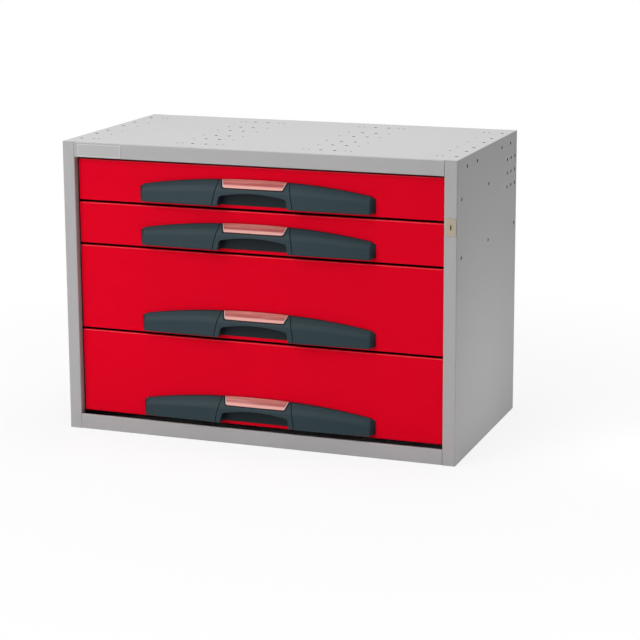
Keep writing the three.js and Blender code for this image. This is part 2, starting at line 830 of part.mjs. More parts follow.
const casingPaint = finish(0xaaaaaa, 0.45, 0.1);
const frontPaint = finish(0xd60024, 0.35, 0.05);
const trayPaint = finish(0x8f9498, 0.5, 0.1);
const zincSteel = finish(0xb4b7ba, 0.35, 0.8);
const moulding = finish(0x35424a, 0.5, 0);
const labelPlastic = finish(0xe17f76, 0.15, 0, { transparent: true, opacity: 0.85 });
const paleBrass = finish(0xbeb296, 0.35, 0.7);

/** A named piece with its finish. */
function piece(name, solid, material) {
  const mesh = new THREE.Mesh(toGeometry(solid), material);
  mesh.name = name;
  return mesh;
}

/** The fixed pieces of the casing. */
function casing() {
  const group = new THREE.Group();
  group.add(
    piece('side_panel_left', sidePanel(-1), casingPaint),
    piece('side_panel_right', sidePanel(1).subtract(lockOpenings()), casingPaint),
    piece('top_panel', topPanel(), casingPaint),
    piece('bottom_panel', pan(0, 1), casingPaint),
    piece('back_panel', backPanel(), casingPaint),
    piece('rear_post_left', rearPost(-1), zincSteel),
    piece('rear_post_right', rearPost(1), zincSteel),
    piece('name_plate', namePlate(), casingPaint),
  );
  return group;
}

/** The lock and the bar that it lifts. */
function lock() {
  const group = new THREE.Group();
  group.add(
    piece('lock_case', lockCase(), paleBrass),
    piece('lock_plug', lockPlug(), paleBrass),
    piece('lock_cam', lockCam(), zincSteel),
    piece('lock_bar', lockBar(), zincSteel),
  );
  return group;
}

/** One drawer with its slides and handle, seen from the lower edge of its front. */
function drawer(name, frontHeight) {
  const group = new THREE.Group();
  group.add(
    piece(`${name}_front`, drawerFront(frontHeight), frontPaint),
    piece(`${name}_tray`, drawerTray(frontHeight), trayPaint),
    piece(`${name}_handle_grip`, handleGrip(), moulding),
    piece(`${name}_label_window`, labelWindow(), labelPlastic),
  );
  for (const [label, side] of [['left', -1], ['right', 1]]) {
    group.add(
      piece(`${name}_handle_wing_${label}`, handleWing(side), moulding),
      piece(`${name}_slide_channel_${label}`, slideMember(paths.channel, slideSheet, side), zincSteel),
      piece(`${name}_slide_middle_${label}`, slideMember(paths.middle, slideSheet, side), zincSteel),
      piece(`${name}_slide_inner_${label}`, innerMember(paths.inner, side), zincSteel),
    );
  }
  return group;
}

const cabinet = new THREE.Group();
cabinet.add(casing(), lock());
frontHeights.forEach((height, i) => {
  const group = drawer(`drawer_${i + 1}`, height);
  group.position.set(0, frontFaceY, drawerBottoms[i]);
  cabinet.add(group);
});

export default cabinet;
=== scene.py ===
"""Looks of the drawer cabinet module: finishes, moulded handles, studio and camera.

Lengths are metres in the row frame: +Z up, the drawers pull towards -Y, and the origin is the
centre of the casing's underside.
"""

import json
import logging
import math
from abc import ABC, abstractmethod
from collections.abc import Callable, Sequence
from dataclasses import dataclass, field
from enum import Enum

import bmesh
import bpy
from mathutils import Matrix, Vector

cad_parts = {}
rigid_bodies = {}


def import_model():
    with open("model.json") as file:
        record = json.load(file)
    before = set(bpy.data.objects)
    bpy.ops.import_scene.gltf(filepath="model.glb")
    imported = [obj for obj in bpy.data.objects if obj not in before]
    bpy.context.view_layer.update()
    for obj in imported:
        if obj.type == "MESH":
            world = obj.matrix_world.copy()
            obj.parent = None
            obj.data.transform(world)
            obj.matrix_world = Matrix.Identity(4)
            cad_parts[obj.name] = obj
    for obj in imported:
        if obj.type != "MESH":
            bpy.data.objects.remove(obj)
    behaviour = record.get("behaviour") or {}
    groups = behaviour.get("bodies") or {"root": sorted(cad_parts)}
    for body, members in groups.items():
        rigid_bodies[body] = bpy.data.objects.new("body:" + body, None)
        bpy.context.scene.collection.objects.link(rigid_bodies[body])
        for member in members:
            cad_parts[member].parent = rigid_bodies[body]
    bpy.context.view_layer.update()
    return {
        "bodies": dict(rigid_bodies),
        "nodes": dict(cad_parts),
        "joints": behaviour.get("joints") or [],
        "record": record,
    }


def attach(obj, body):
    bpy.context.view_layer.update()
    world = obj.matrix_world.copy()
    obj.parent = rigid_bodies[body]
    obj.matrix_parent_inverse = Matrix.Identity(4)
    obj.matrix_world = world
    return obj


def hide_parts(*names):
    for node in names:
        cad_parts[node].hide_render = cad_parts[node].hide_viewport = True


log = logging.getLogger("drawer_cabinet")

MM = 0.001
Triple = tuple[float, float, float]
Sockets = dict[str | int, object]

# How far two places may differ that are meant to be the same: after one operator, and after some.
EXACT = 1e-6
CLOSE = 0.01 * MM
# A face looks along an axis when its normal has more than this share along it.
FACING = 0.9
# Signs of X on the left and on the right.
SIDES = (-1, 1)


class Element(Enum):
    """What a selection in edit mode picks."""

    VERTICES = "VERT"
    EDGES = "EDGE"
    FACES = "FACE"


# Shader tools


class Value:
    """A shader socket that carries a number, with Python's operators for Math nodes."""

    def __init__(self, shader: "Shader", socket: bpy.types.NodeSocket) -> None:
        """Wrap an output of a shader, which new Math nodes go into."""
        self.shader = shader
        self.socket = socket

    def _with(self, operation: str, first: "Value | float", second: "Value | float") -> "Value":
        """Join two numbers with a Math node of an operation."""
        node = self.shader.add("ShaderNodeMath", {"operation": operation}, {0: first, 1: second})
        return Value(self.shader, node.outputs[0])

    def __add__(self, other: "Value | float") -> "Value":
        """Sum."""
        return self._with("ADD", self, other)

    def __mul__(self, other: "Value | float") -> "Value":
        """Product."""
        return self._with("MULTIPLY", self, other)

    def __sub__(self, other: "Value | float") -> "Value":
        """Difference."""
        return self._with("SUBTRACT", self, other)

    def __rsub__(self, other: "Value | float") -> "Value":
        """Difference from a number."""
        return self._with("SUBTRACT", other, self)

    __radd__ = __add__
    __rmul__ = __mul__

    def most(self, other: "Value | float") -> "Value":
        """The larger of two."""
        return self._with("MAXIMUM", self, other)

    def size(self) -> "Value":
        """The value without its sign."""
        return self._with("ABSOLUTE", self, 0)


class Shader:
    """A material's or world's node tree, emptied and built up again."""

    def __init__(self, owner: bpy.types.Material | bpy.types.World) -> None:
        """Take over the node tree of a material or world.

        Args:
            owner: The material or world, which then uses nodes.
        """
        owner.use_nodes = True
        self.tree = owner.node_tree
        self.tree.nodes.clear()

    def add(
        self,
        kind: str,
        settings: dict[str, object] | None = None,
        sockets: Sockets | None = None,
    ) -> bpy.types.Node:
        """Add a node with its settings, then its socket values and links.

        Args:
            kind: The node's type.
            settings: Values of its properties, set first. A ramp's stops are the key "stops".
            sockets: Numbers, colours, sockets or values for its inputs, by name or place.

        Returns:
            The node.
        """
        node = self.tree.nodes.new(kind)
        for name, value in (settings or {}).items():
            if name == "stops":
                self._set_stops(node, value)
            else:
                setattr(node, name, value)
        for key, value in (sockets or {}).items():
            source = value.socket if isinstance(value, Value) else value
            if isinstance(source, bpy.types.NodeSocket):
                self.tree.links.new(source, node.inputs[key])
            else:
                node.inputs[key].default_value = source
        return node

    @staticmethod
    def _set_stops(node: bpy.types.Node, stops: Sequence[tuple[float, Triple]]) -> None:
        """Set the stops of a colour ramp.

        Args:
            node: The ramp.
            stops: Place and colour of each stop, in order.
        """
        elements = node.color_ramp.elements
        while len(elements) < len(stops):
            elements.new(1)
        for element, (place, color) in zip(elements, stops, strict=True):
            element.position = place
            element.color = (*color, 1)

    def object_place(self, scale: Triple = (1, 1, 1)) -> bpy.types.NodeSocket:
        """Place on the piece in metres, stretched along each axis."""
        place = {"Vector": self.add("ShaderNodeTexCoord").outputs["Object"], "Scale": scale}
        return self.add("ShaderNodeMapping", {}, place).outputs["Vector"]

    def axes(self) -> tuple[Value, Value, Value]:
        """Place on the piece in metres, along X, Y and Z."""
        parts = self.add("ShaderNodeSeparateXYZ", {}, {0: self.object_place()}).outputs
        return (Value(self, parts[0]), Value(self, parts[1]), Value(self, parts[2]))

    def attribute(self, name: str) -> Value:
        """A number that a mesh stores at its vertices under a name."""
        node = self.add("ShaderNodeAttribute", {"attribute_name": name})
        return Value(self, node.outputs["Fac"])

    def noise(self, per_metre: float, detail: float, scale: Triple = (1, 1, 1)) -> Value:
        """Fractal noise on Object coordinates.

        Args:
            per_metre: Lumps in a metre.
            detail: How many finer layers it has.
            scale: Stretch along each axis.

        Returns:
            The noise, about a half on average.
        """
        node = self.add(
            "ShaderNodeTexNoise",
            {"normalize": True},
            {"Vector": self.object_place(scale), "Scale": per_metre, "Detail": detail},
        )
        return Value(self, node.outputs[0])

    def blend(self, amount: Value, low: Triple, high: Triple) -> bpy.types.NodeSocket:
        """Mix two colours by the share of the second."""
        return self.blend_from(amount, (*low, 1), high)

    def blend_from(self, amount: Value, ground: object, high: Triple) -> bpy.types.NodeSocket:
        """Mix a colour over a ground.

        Args:
            amount: Share of the colour.
            ground: The ground's colour socket, or a colour with its alpha.
            high: The colour over it.

        Returns:
            The colour socket.
        """
        node = self.add(
            "ShaderNodeMix",
            {"data_type": "RGBA"},
            {"Factor": amount, 6: ground, 7: (*high, 1)},
        )
        return node.outputs[2]

    def ramp(self, value: Value, reach: tuple[float, float], ends: tuple[float, float]) -> Value:
        """A number that goes straight from one level to another as a value runs over a reach.

        Args:
            value: The value that runs.
            reach: Where the change begins and ends.
            ends: The levels before and after it.

        Returns:
            The level.
        """
        node = self.add(
            "ShaderNodeMapRange",
            {"clamp": True},
            {0: value, 1: reach[0], 2: reach[1], 3: ends[0], 4: ends[1]},
        )
        return Value(self, node.outputs[0])

    def bump(self, height: Value, strength: float, depth: float) -> bpy.types.NodeSocket:
        """A normal bumped by a height pattern, whose full step is a depth in metres."""
        sockets = {"Strength": strength, "Distance": depth, "Height": height}
        return self.add("ShaderNodeBump", {}, sockets).outputs[0]

    @staticmethod
    def about(middle: float, swing: float, pattern: Value) -> Value:
        """A number that swings about a middle with a pattern."""
        return pattern * swing + (middle - swing / 2)

    def surface(self, sockets: Sockets) -> None:
        """End a material with a Principled surface that has these values and links."""
        node = self.add("ShaderNodeBsdfPrincipled", {}, sockets)
        self.add("ShaderNodeOutputMaterial", {}, {"Surface": node.outputs[0]})


def grey(level: float) -> Triple:
    """The same level in all three channels."""
    return (level, level, level)


def from_screen(red: int, green: int, blue: int) -> Triple:
    """A linear colour from its 8-bit screen values.

    Args:
        red: Red, 0 to 255.
        green: Green, 0 to 255.
        blue: Blue, 0 to 255.

    Returns:
        The linear colour.
    """
    shares = (channel / 255 for channel in (red, green, blue))
    linear = [c / 12.92 if c <= 0.04045 else ((c + 0.055) / 1.055) ** 2.4 for c in shares]
    return (linear[0], linear[1], linear[2])


# Finishes


class PaintedShadeZone(ABC):
    """Part of a piece, told by its place on the cabinet, where shade is painted into its colour."""

    color: Triple

    @abstractmethod
    def inside(self, shader: Shader) -> Value:
        """One in the zone, and zero outside it."""

    def over(self, shader: Shader, ground: bpy.types.NodeSocket) -> bpy.types.NodeSocket:
        """Lay the zone's painted shade over a paint's colour, in the paint's shader."""
        return shader.blend_from(self.inside(shader), ground, self.color)


@dataclass(frozen=True)
class GapShadeZone(PaintedShadeZone):
    """Painted shade, near black, on the returned edges and inner walls in the gaps round the drawer
    fronts, where deep shadow falls.

    It lies from a depth behind the front faces to another, inside a half width and between two
    heights.
    """

    fade: tuple[float, float] = (-180.5 * MM, -177.5 * MM)
    back: float = -140 * MM
    half_width: float = 339.2 * MM
    side_blur: float = 0.1 * MM
    heights: tuple[float, float] = (3 * MM, 515 * MM)
    blur: float = 1 * MM
    # Near-black painted shade of the gaps.
    color: Triple = (0.004, 0.003, 0.003)

    def inside(self, shader: Shader) -> Value:
        """Tell where the gaps' shade is painted.

        Args:
            shader: The paint's shader, which the nodes are added to.

        Returns:
            One there, and zero elsewhere.
        """
        across, depth, height = shader.axes()
        side, (low, high) = self.half_width, self.heights
        share = shader.ramp(depth, self.fade, (0, 1))
        share *= shader.ramp(depth, (self.back, self.back + self.blur), (1, 0))
        share *= shader.ramp(across.size(), (side, side + self.side_blur), (1, 0))
        share *= shader.ramp(height, (low, low + self.blur), (0, 1))
        share *= shader.ramp(height, (high, high + self.blur), (1, 0))
        return share


@dataclass(frozen=True)
class HoleShadeZone(PaintedShadeZone):
    """Painted shade, near black, on the walls of the holes punched in the casing's top and sides,
    where the holes look dark.

    They lie between the two faces of the sheet, away from its folds.
    """

    size: Triple = (720 * MM, 385 * MM, 520 * MM)
    sheet: float = 1.2 * MM
    skin: float = 0.05 * MM
    fold: float = 4 * MM
    # Near-black painted shade inside the holes.
    color: Triple = (0.006, 0.006, 0.006)

    def inside(self, shader: Shader) -> Value:
        """Tell the walls of the holes, which get the painted shade.

        Args:
            shader: The paint's shader, which the nodes are added to.

        Returns:
            One on them, and zero elsewhere.
        """
        across, depth, height = shader.axes()
        across, depth = across.size(), depth.size()
        half_width, half_depth, top = self.size[0] / 2, self.size[1] / 2, self.size[2]
        in_top = self._in_sheet(shader, height, top) * self._within(shader, across, half_width)
        in_side = self._in_sheet(shader, across, half_width) * self._within(shader, height, top)
        return in_top.most(in_side) * self._within(shader, depth, half_depth)

    def _in_sheet(self, shader: Shader, place: Value, face: float) -> Value:
        """One between the two faces of a sheet, and zero on them and outside.

        Args:
            shader: The paint's shader.
            place: Place across the sheet.
            face: Place of the sheet's outer face.

        Returns:
            The value.
        """
        outside = shader.ramp(place, (face - self.skin, face - self.skin / 2), (1, 0))
        back = face - self.sheet
        return outside * shader.ramp(place, (back + self.skin / 2, back + self.skin), (0, 1))

    def _within(self, shader: Shader, place: Value, end: float) -> Value:
        """One on the flat of a panel, and zero at its fold, which is at the end."""
        return shader.ramp(place, (end - self.fold - self.skin, end - self.fold), (1, 0))


@dataclass(frozen=True)
class Finish(ABC):
    """A finish. One that dresses whole pieces is named as their slot in the record."""

    name: str

    @abstractmethod
    def sockets(self, shader: Shader) -> Sockets:
        """Values and links of its surface, whose nodes are added to the shader."""

    def material(self) -> bpy.types.Material:
        """Build the finish."""
        made = bpy.data.materials.new(self.name)
        shader = Shader(made)
        shader.surface(self.sockets(shader))
        return made


@dataclass(frozen=True)
class PowderCoat(Finish):
    """Sprayed and baked paint on sheet steel, with a faint orange-peel surface."""

    color: Triple
    roughness: float = 0.5
    gloss_level: float = 0.3
    unevenness: float = 0.04
    clouds_per_metre: float = 5
    roughness_swing: float = 0.08
    peel_per_metre: float = 700
    peel_strength: float = 0.35
    peel_depth: float = 0.03 * MM
    painted_shade_zones: tuple[PaintedShadeZone, ...] = ()
    sheen_attribute: str | None = None
    sheen: float = 0.5
    sheen_roughness: float = 0.25

    def sockets(self, shader: Shader) -> Sockets:
        """Make the painted surface.

        Args:
            shader: The paint's shader, which the nodes are added to.

        Returns:
            Its values and links.
        """
        cloud = shader.noise(self.clouds_per_metre, detail=3)
        dark = tuple(channel * (1 - self.unevenness) for channel in self.color)
        light = tuple(channel * (1 + self.unevenness) for channel in self.color)
        peel = shader.noise(self.peel_per_metre, detail=2)
        paint = shader.blend(cloud, dark, light)
        # Lay each zone's painted shade over the paint.
        for zone in self.painted_shade_zones:
            paint = zone.over(shader, paint)
        sockets = {
            "Base Color": paint,
            "Roughness": shader.about(self.roughness, self.roughness_swing, cloud),
            "Specular IOR Level": self.gloss_level,
            "Normal": shader.bump(peel, self.peel_strength, self.peel_depth),
        }
        if self.sheen_attribute:
            sockets["Coat Weight"] = shader.attribute(self.sheen_attribute) * self.sheen
            sockets["Coat Roughness"] = self.sheen_roughness
        return sockets


@dataclass(frozen=True)
class Moulding(Finish):
    """Injection-moulded plastic with a fine spark-eroded grain."""

    color: Triple
    worn_color: Triple
    # Near-black colour of the painted shade in the hollows and on the foot.
    hollow_shade_color: Triple
    shade_attribute: str = "hollow_depth"
    roughness: float = 0.44
    roughness_swing: float = 0.1
    gloss_level: float = 0.16
    clouds_per_metre: float = 14
    grains_per_metre: float = 2200
    grain_strength: float = 0.4
    grain_depth: float = 0.04 * MM

    def sockets(self, shader: Shader) -> Sockets:
        """Make the grained surface.

        Args:
            shader: The plastic's shader, which the nodes are added to.

        Returns:
            Its values and links.
        """
        grain = shader.noise(self.grains_per_metre, detail=2)
        cloud = shader.noise(self.clouds_per_metre, detail=4)
        # Share of painted shade, near black in the recess, the window's pocket and the foot.
        hollow = shader.attribute(self.shade_attribute)
        plain = shader.blend(cloud, self.color, self.worn_color)
        return {
            "Base Color": shader.blend_from(hollow, plain, self.hollow_shade_color),
            "Roughness": shader.about(self.roughness, self.roughness_swing, cloud),
            "Specular IOR Level": self.gloss_level,
            "Normal": shader.bump(grain, self.grain_strength, self.grain_depth),
        }


@dataclass(frozen=True)
class LabelCover(Finish):
    """Glossy clear plastic over a printed paper strip, whose fibres run along the strip."""

    paper: Triple
    lower_paper: Triple
    # Light colour of the paper's streaks, also used for the painted highlight bands.
    streak_and_highlight: Triple
    # Pale colour of the painted glint on the cover's clear ends.
    rim: Triple
    height_attribute: str = "strip_height"
    half_widths: tuple[float, float] = (53.8 * MM, 60 * MM)
    glint_width: float = 1.8 * MM
    streaks_per_metre: float = 60
    streak_run: Triple = (0.3, 4, 9)
    streak_share: float = 0.5
    streak_reach: tuple[float, float] = (0.5, 0.7)
    glint_fade_share: float = 0.6
    roughness: float = 0.35
    gloss_level: float = 0.4
    clear_coat: float = 0.3
    clear_roughness: float = 0.06

    def sockets(self, shader: Shader) -> Sockets:
        """Make the covered strip.

        Args:
            shader: The strip's shader, which the nodes are added to.

        Returns:
            Its values and links.
        """
        height = shader.attribute(self.height_attribute)
        # The light bands at the strip's lower part and top edge are painted highlights of the
        # curved cover.
        stops = (
            (0.12, self.streak_and_highlight), (0.28, self.streak_and_highlight), (0.4, self.lower_paper),
            (0.58, self.lower_paper), (0.7, self.paper), (0.86, self.paper), (0.95, self.streak_and_highlight),
        )
        fed = {"Fac": height}
        bands = shader.add("ShaderNodeValToRGB", {"stops": stops}, fed).outputs["Color"]
        streaks = shader.noise(self.streaks_per_metre, detail=3, scale=self.streak_run)
        streaked = shader.ramp(streaks, self.streak_reach, (0, self.streak_share))
        printed = shader.blend_from(streaked, bands, self.streak_and_highlight)
        # The pale ends of the strip are a painted glint.
        across = shader.axes()[0].size()
        narrow, wide = self.half_widths
        end = height * (wide - narrow) + narrow - across
        fade = (self.glint_width * self.glint_fade_share, self.glint_width)
        painted_glint = shader.ramp(end, fade, (1, 0))
        return {
            "Base Color": shader.blend_from(painted_glint, printed, self.rim),
            "Roughness": self.roughness,
            "Specular IOR Level": self.gloss_level,
            "Coat Weight": self.clear_coat,
            "Coat Roughness": self.clear_roughness,
        }


@dataclass(frozen=True)
class PlatedMetal(Finish):
    """Zinc, brass or another bright metal surface with fine rolling marks."""

    color: Triple
    roughness: float
    metallic: float = 1.0
    roughness_swing: float = 0.16
    dull_share: float = 0.85
    clouds_per_metre: float = 25
    marks_per_metre: float = 900
    mark_run: Triple = (1, 0.04, 1)
    mark_strength: float = 0.15
    mark_depth: float = 0.02 * MM

    def sockets(self, shader: Shader) -> Sockets:
        """Make the rolled surface.

        Args:
            shader: The metal's shader, which the nodes are added to.

        Returns:
            Its values and links.
        """
        lines = shader.noise(self.marks_per_metre, detail=3, scale=self.mark_run)
        cloud = shader.noise(self.clouds_per_metre, detail=3)
        dull = tuple(channel * self.dull_share for channel in self.color)
        return {
            "Base Color": shader.blend(cloud, dull, self.color),
            "Metallic": self.metallic,
            "Roughness": shader.about(self.roughness, self.roughness_swing, lines),
            "Normal": shader.bump(lines, self.mark_strength, self.mark_depth),
        }


def plate_paint(name: str, color: Triple) -> Finish:
    """A paint of the plate on the top rail, smoother than the casing's."""
    return PowderCoat(name, color, roughness=0.4, gloss_level=0.4)


FINISHES: tuple[Finish, ...] = (
    # The casing's paint gets painted shade in the gaps beside the drawers and in its punched holes.
    PowderCoat(
        "casing_paint", from_screen(178, 177, 178), painted_shade_zones=(GapShadeZone(), HoleShadeZone()),
    ),
    # The fronts' returned edges get the painted shade of the gaps.
    PowderCoat(
        "front_paint", from_screen(230, 0, 34), gloss_level=0.03, unevenness=0.012,
        painted_shade_zones=(GapShadeZone(),), sheen_attribute="rolled_edge",
    ),
    PowderCoat("tray_paint", from_screen(150, 152, 154)),
    PlatedMetal("zinc_steel", from_screen(196, 199, 202), roughness=0.36),
    Moulding(
        "handle_plastic",
        color=from_screen(34, 51, 57),
        worn_color=from_screen(39, 57, 63),
        # Near-black painted shade of the handle's hollows and foot.
        hollow_shade_color=from_screen(6, 16, 22),
    ),
    # The label's light streak colour also paints highlight bands, and its pale rim colour a glint
    # at the ends.
    LabelCover(
        "label_window",
        paper=from_screen(192, 98, 90),
        lower_paper=from_screen(168, 66, 64),
        streak_and_highlight=from_screen(224, 150, 140),
        rim=from_screen(202, 172, 168),
    ),
    PlatedMetal("lock_brass", from_screen(172, 162, 142), roughness=0.45, metallic=0.6),
    plate_paint("name_plate", from_screen(182, 182, 183)),
    # Lighter paint of the plate's rim, a painted highlight.
    plate_paint("name_plate_rim_highlight", from_screen(214, 214, 214)),
)


# Modelling tools


def at(place: float, wanted: float) -> bool:
    """Whether a place is the wanted one."""
    return abs(place - wanted) < CLOSE


def lengthwise(run: Vector) -> bool:
    """Whether an edge runs along X."""
    return abs(run.x) > MM


class Workpiece:
    """A mesh that is shaped in edit mode."""

    def __init__(self, body: bpy.types.Object) -> None:
        """Take over an object."""
        self.body = body

    @classmethod
    def box(cls, name: str, low: Triple, high: Triple) -> "Workpiece":
        """Start from a box.

        Args:
            name: Name of the object and its mesh.
            low: Lowest corner.
            high: Highest corner.

        Returns:
            The box in edit mode.
        """
        bpy.ops.object.select_all(action="DESELECT")
        centre = (Vector(low) + Vector(high)) / 2
        size = Vector(high) - Vector(low)
        bpy.ops.mesh.primitive_cube_add(size=1, location=centre, scale=size)
        bpy.ops.object.transform_apply(location=True, rotation=True, scale=True)
        piece = cls(bpy.context.active_object)
        piece.body.name = name
        piece.body.data.name = name
        piece.edit()
        return piece

    def _take(self) -> None:
        """Select this piece alone."""
        bpy.ops.object.select_all(action="DESELECT")
        self.body.select_set(True)
        bpy.context.view_layer.objects.active = self.body

    def edit(self) -> None:
        """Enter edit mode on this piece alone."""
        self._take()
        bpy.ops.object.mode_set(mode="EDIT")
        bpy.ops.mesh.select_all(action="DESELECT")

    def pick(self, element: Element, test: Callable[[Vector, Vector], bool]) -> None:
        """Select vertices, edges or faces by their place and normal, and nothing else.

        Args:
            element: What to select.
            test: Tells from a middle and a normal whether to select. An edge's second
                argument is its direction.
        """
        bpy.ops.mesh.select_all(action="DESELECT")
        bpy.ops.mesh.select_mode(type=element.value)
        shape = bmesh.from_edit_mesh(self.body.data)
        if element is Element.VERTICES:
            places = [(item, item.co, item.normal) for item in shape.verts]
        elif element is Element.FACES:
            places = [(item, item.calc_center_median(), item.normal) for item in shape.faces]
        else:
            ends = [(item, item.verts[0].co, item.verts[1].co) for item in shape.edges]
            places = [(item, (start + end) / 2, end - start) for item, start, end in ends]
        for item, middle, direction in places:
            if test(middle, direction):
                item.select_set(True)
        bmesh.update_edit_mesh(self.body.data)

    def pick_sharp(self, degrees: float, test: Callable[[Vector], bool]) -> None:
        """Select the edges that are sharper than an angle where their middles pass a test.

        Args:
            degrees: The angle.
            test: Tells from a middle whether the edge stays selected.
        """
        bpy.ops.mesh.select_all(action="DESELECT")
        bpy.ops.mesh.select_mode(type="EDGE")
        bpy.ops.mesh.edges_select_sharp(sharpness=math.radians(degrees))
        shape = bmesh.from_edit_mesh(self.body.data)
        for edge in shape.edges:
            if edge.select and not test((edge.verts[0].co + edge.verts[1].co) / 2):
                edge.select_set(False)
        bmesh.update_edit_mesh(self.body.data)

    def bevel_picked(self, width: float, segments: int) -> None:
        """Round the selected edges by a width along the faces, in so many segments."""
        bpy.ops.mesh.bevel(offset=width, offset_type="OFFSET", segments=segments, affect="EDGES")

    def bevel(
        self, width: float, segments: int, test: Callable[[Vector, Vector], bool],
    ) -> None:
        """Round the edges whose middle and direction pass a test."""
        self.pick(Element.EDGES, test)
        self.bevel_picked(width, segments)

    def cut(self, place: Triple, normal: Triple, clear: bool = False) -> None:
        """Score the whole piece along a plane.

        Args:
            place: A point of the plane.
            normal: Its normal.
            clear: Whether what lies beyond the plane is taken away.
        """
        bpy.ops.mesh.select_all(action="SELECT")
        across = Vector(normal).normalized()
        bpy.ops.mesh.bisect(plane_co=place, plane_no=across, clear_outer=clear)
        bpy.ops.mesh.select_all(action="DESELECT")

    def leave(self) -> None:
        """Make the faces point outwards and leave edit mode."""
        bpy.ops.mesh.select_all(action="SELECT")
        bpy.ops.mesh.remove_doubles(threshold=EXACT)
        bpy.ops.mesh.normals_make_consistent(inside=False)
        bpy.ops.object.mode_set(mode="OBJECT")

    def apply(self, kind: str, **settings: object) -> None:
        """Add a modifier and apply it.

        Args:
            kind: The modifier's type.
            settings: Its properties.
        """
        modifier = self.body.modifiers.new(kind.lower(), kind)
        for name, value in settings.items():
            setattr(modifier, name, value)
        self._take()
        bpy.ops.object.modifier_apply(modifier=modifier.name)

    def soften(self, width: float, segments: int, degrees: float = 50) -> None:
        """Round the edges sharper than an angle by a width, in so many segments."""
        limits = {"limit_method": "ANGLE", "angle_limit": math.radians(degrees)}
        self.apply("BEVEL", width=width, segments=segments, **limits)

    def smooth(self, degrees: float = 35) -> None:
        """Shade smooth across edges flatter than an angle.

        Args:
            degrees: The angle.
        """
        self._take()
        bpy.ops.object.shade_smooth_by_angle(angle=math.radians(degrees))
        self.apply("WEIGHTED_NORMAL", mode="FACE_AREA", keep_sharp=True)

    def note(self, name: str, measure: Callable[[Vector], float]) -> None:
        """Store a number at each vertex for a finish to read.

        Args:
            name: Name of the number.
            measure: Tells it from the vertex's place.
        """
        mesh = self.body.data
        entries = mesh.attributes.new(name, "FLOAT", "POINT").data
        for vertex, entry in zip(mesh.vertices, entries, strict=True):
            entry.value = measure(vertex.co)

    def copy(self, name: str, offset: Triple = (0, 0, 0)) -> bpy.types.Object:
        """Copy the piece with a mesh of its own, moved in its mesh.

        Args:
            name: Name of the copy.
            offset: How far the copy is moved.

        Returns:
            The copy.
        """
        twin = self.body.copy()
        twin.data = self.body.data.copy()
        twin.name = name
        twin.data.name = name
        twin.data.transform(Matrix.Translation(offset))
        bpy.context.scene.collection.objects.link(twin)
        return twin

    def discard(self) -> None:
        """Remove the piece once its copies are made."""
        bpy.data.objects.remove(self.body)


def dress(piece: bpy.types.Object, material: bpy.types.Material) -> None:
    """Give a piece one material in place of those it has."""
    piece.data.materials.clear()
    piece.data.materials.append(material)


# Handle


@dataclass(frozen=True)
class Section:
    """Cross-section of the handle: how far it stands out and its three heights."""

    stand: float
    top: float
    bottom: float
    brow: float


